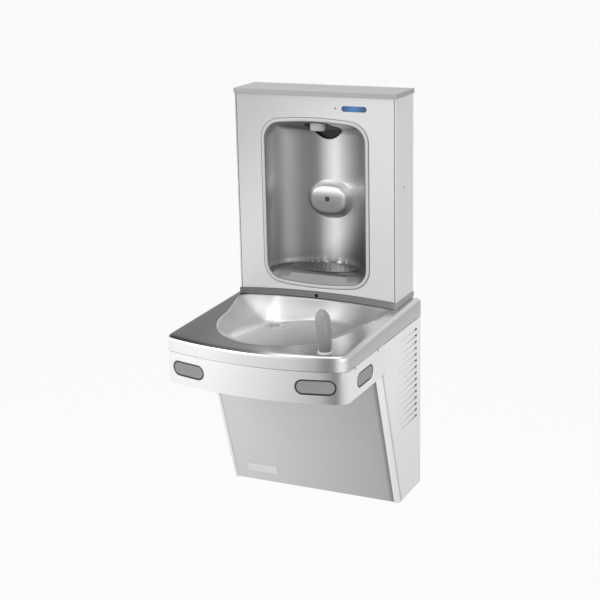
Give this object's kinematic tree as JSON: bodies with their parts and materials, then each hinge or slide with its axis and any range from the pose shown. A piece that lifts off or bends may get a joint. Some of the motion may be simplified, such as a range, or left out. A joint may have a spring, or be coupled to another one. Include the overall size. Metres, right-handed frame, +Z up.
{
  "type": "bottle filling station",
  "caption": "Wall hung water cooler with a basin, bubbler and push pads, and a sensor bottle filler cabinet standing on the basin.",
  "frame": {"origin": "middle of the lower back edge of the cabinet, on the wall plane", "axes": "+Y into the wall, out of the back face; +Z up; +X to the right of a person who faces the unit"},
  "size_m": [0.4624, 0.504, 1.008],
  "materials": {
    "brushed_stainless": "satin brushed",
    "bright_stainless": "polished pressing",
    "silver_panel": "smooth silver finish",
    "lower_panel": "smooth silver finish",
    "apron_panel": "smooth light finish",
    "cap_plastic": "satin",
    "ledge_plastic": "satin",
    "trim_plastic": "satin light grey",
    "nozzle_plastic": "satin light grey",
    "housing_plastic": "dark",
    "pad_plastic": "satin grey",
    "guard_plastic": "moulded grey",
    "gasket_rubber": "light grey",
    "sensor_glass": "black",
    "blue_window": "clear blue",
    "light_lens": "unlit lens",
    "board_green": "circuit board",
    "zinc_steel": "zinc coated sheet",
    "copper": "drawn copper tube",
    "brass": "machined",
    "black_paint": "black enamel",
    "black_rubber": "matt",
    "black_plastic": "matt",
    "foam": "insulated tank",
    "white_tube": "polyethylene tube",
    "pipe_plastic": "waste pipe",
    "spring_steel": "wire",
    "fan_plastic": "moulded",
    "condenser_metal": "dark fins",
    "plate_metal": "bare plate",
    "coil_blue": "moulded coil"
  },
  "bodies": {
    "cabinet": {"filler_wrapper": "silver_panel", "filler_front_panel": "silver_panel", "top_cap": "cap_plastic", "alcove_shell": "brushed_stainless", "alcove_trim": "trim_plastic", "alcove_grille": "bright_stainless", "alcove_drain_cup": "housing_plastic", "alcove_drain_tube": "pipe_plastic", "fill_nozzle": "nozzle_plastic", "nozzle_housing": "housing_plastic", "sensor_window": "sensor_glass", "sensor_module": "board_green", "status_light": "light_lens", "display_window": "blue_window", "control_board": "board_green", "solenoid_valves": "coil_blue", "water_tubes": "white_tube", "transition_ledge": "ledge_plastic", "basin": "bright_stainless", "basin_strainer": "bright_stainless", "bubbler_guard": "guard_plastic", "bubbler_spout": "bright_stainless", "bubbler_gasket": "gasket_rubber", "bubbler_nut": "brass", "waste_tailpiece": "pipe_plastic", "waste_trap": "pipe_plastic", "apron": "apron_panel", "front_left_pad_spring": "spring_steel", "front_right_pad_spring": "spring_steel", "left_pad_spring": "spring_steel", "right_pad_spring": "spring_steel", "pad_guides": "zinc_steel", "pad_switches": "black_plastic", "lower_front_panel": "lower_panel", "left_side_panel": "silver_panel", "right_side_panel": "silver_panel", "back_frame": "zinc_steel", "bottom_pan": "zinc_steel", "wall_hanger": "zinc_steel", "nameplate": "plate_metal", "compressor": "black_paint", "compressor_mounts": "black_rubber", "condenser": "condenser_metal", "fan_motor": "black_paint", "cooling_tank": "foam", "refrigerant_lines": "copper", "thermostat": "nozzle_plastic", "inlet_strainer": "brass", "power_inlet": "black_plastic", "cover_screws": "spring_steel"},
    "front_left_pad": {"front_left_pad": "pad_plastic"},
    "front_right_pad": {"front_right_pad": "pad_plastic"},
    "left_pad": {"left_pad": "pad_plastic"},
    "right_pad": {"right_pad": "pad_plastic"},
    "fan": {"fan_blade": "fan_plastic"},
    "thermostat_knob": {"thermostat_knob": "black_plastic"},
    "fill_plunger": {"fill_valve_plunger": "spring_steel"},
    "bubbler_plunger": {"bubbler_valve_plunger": "spring_steel"}
  },
  "joints": [
    {"name": "front_left_pad_press", "type": "slide", "parent": "cabinet", "child": "front_left_pad", "axis": [0.2308, 0.973, 0], "range_m": [0, 0.004], "stiffness_N_per_m": 1500, "springref_m": -0.002, "deforming": ["front_left_pad_spring"]},
    {"name": "front_right_pad_press", "type": "slide", "parent": "cabinet", "child": "front_right_pad", "axis": [-0.2308, 0.973, 0], "range_m": [0, 0.004], "stiffness_N_per_m": 1500, "springref_m": -0.002, "deforming": ["front_right_pad_spring"]},
    {"name": "left_pad_press", "type": "slide", "parent": "cabinet", "child": "left_pad", "axis": [1, 0, 0], "range_m": [0, 0.004], "stiffness_N_per_m": 1500, "springref_m": -0.002, "deforming": ["left_pad_spring"]},
    {"name": "right_pad_press", "type": "slide", "parent": "cabinet", "child": "right_pad", "axis": [-1, 0, 0], "range_m": [0, 0.004], "stiffness_N_per_m": 1500, "springref_m": -0.002, "deforming": ["right_pad_spring"]},
    {"name": "fan_spin", "type": "hinge", "parent": "cabinet", "child": "fan", "pos_m": [-0.166, -0.076, 0.2], "axis": [1, 0, 0], "continuous": true},
    {"name": "thermostat_turn", "type": "hinge", "parent": "cabinet", "child": "thermostat_knob", "pos_m": [0.06, -0.035, 0.3782], "axis": [0, 1, 0], "range_deg": [-135, 135]},
    {"name": "fill_plunger_lift", "type": "slide", "parent": "cabinet", "child": "fill_plunger", "axis": [0, 0, 1], "range_m": [0, 0.003], "stiffness_N_per_m": 400, "springref_m": -0.002},
    {"name": "bubbler_plunger_lift", "type": "slide", "parent": "cabinet", "child": "bubbler_plunger", "axis": [0, 0, 1], "range_m": [0, 0.003], "stiffness_N_per_m": 400, "springref_m": -0.002}
  ]
}
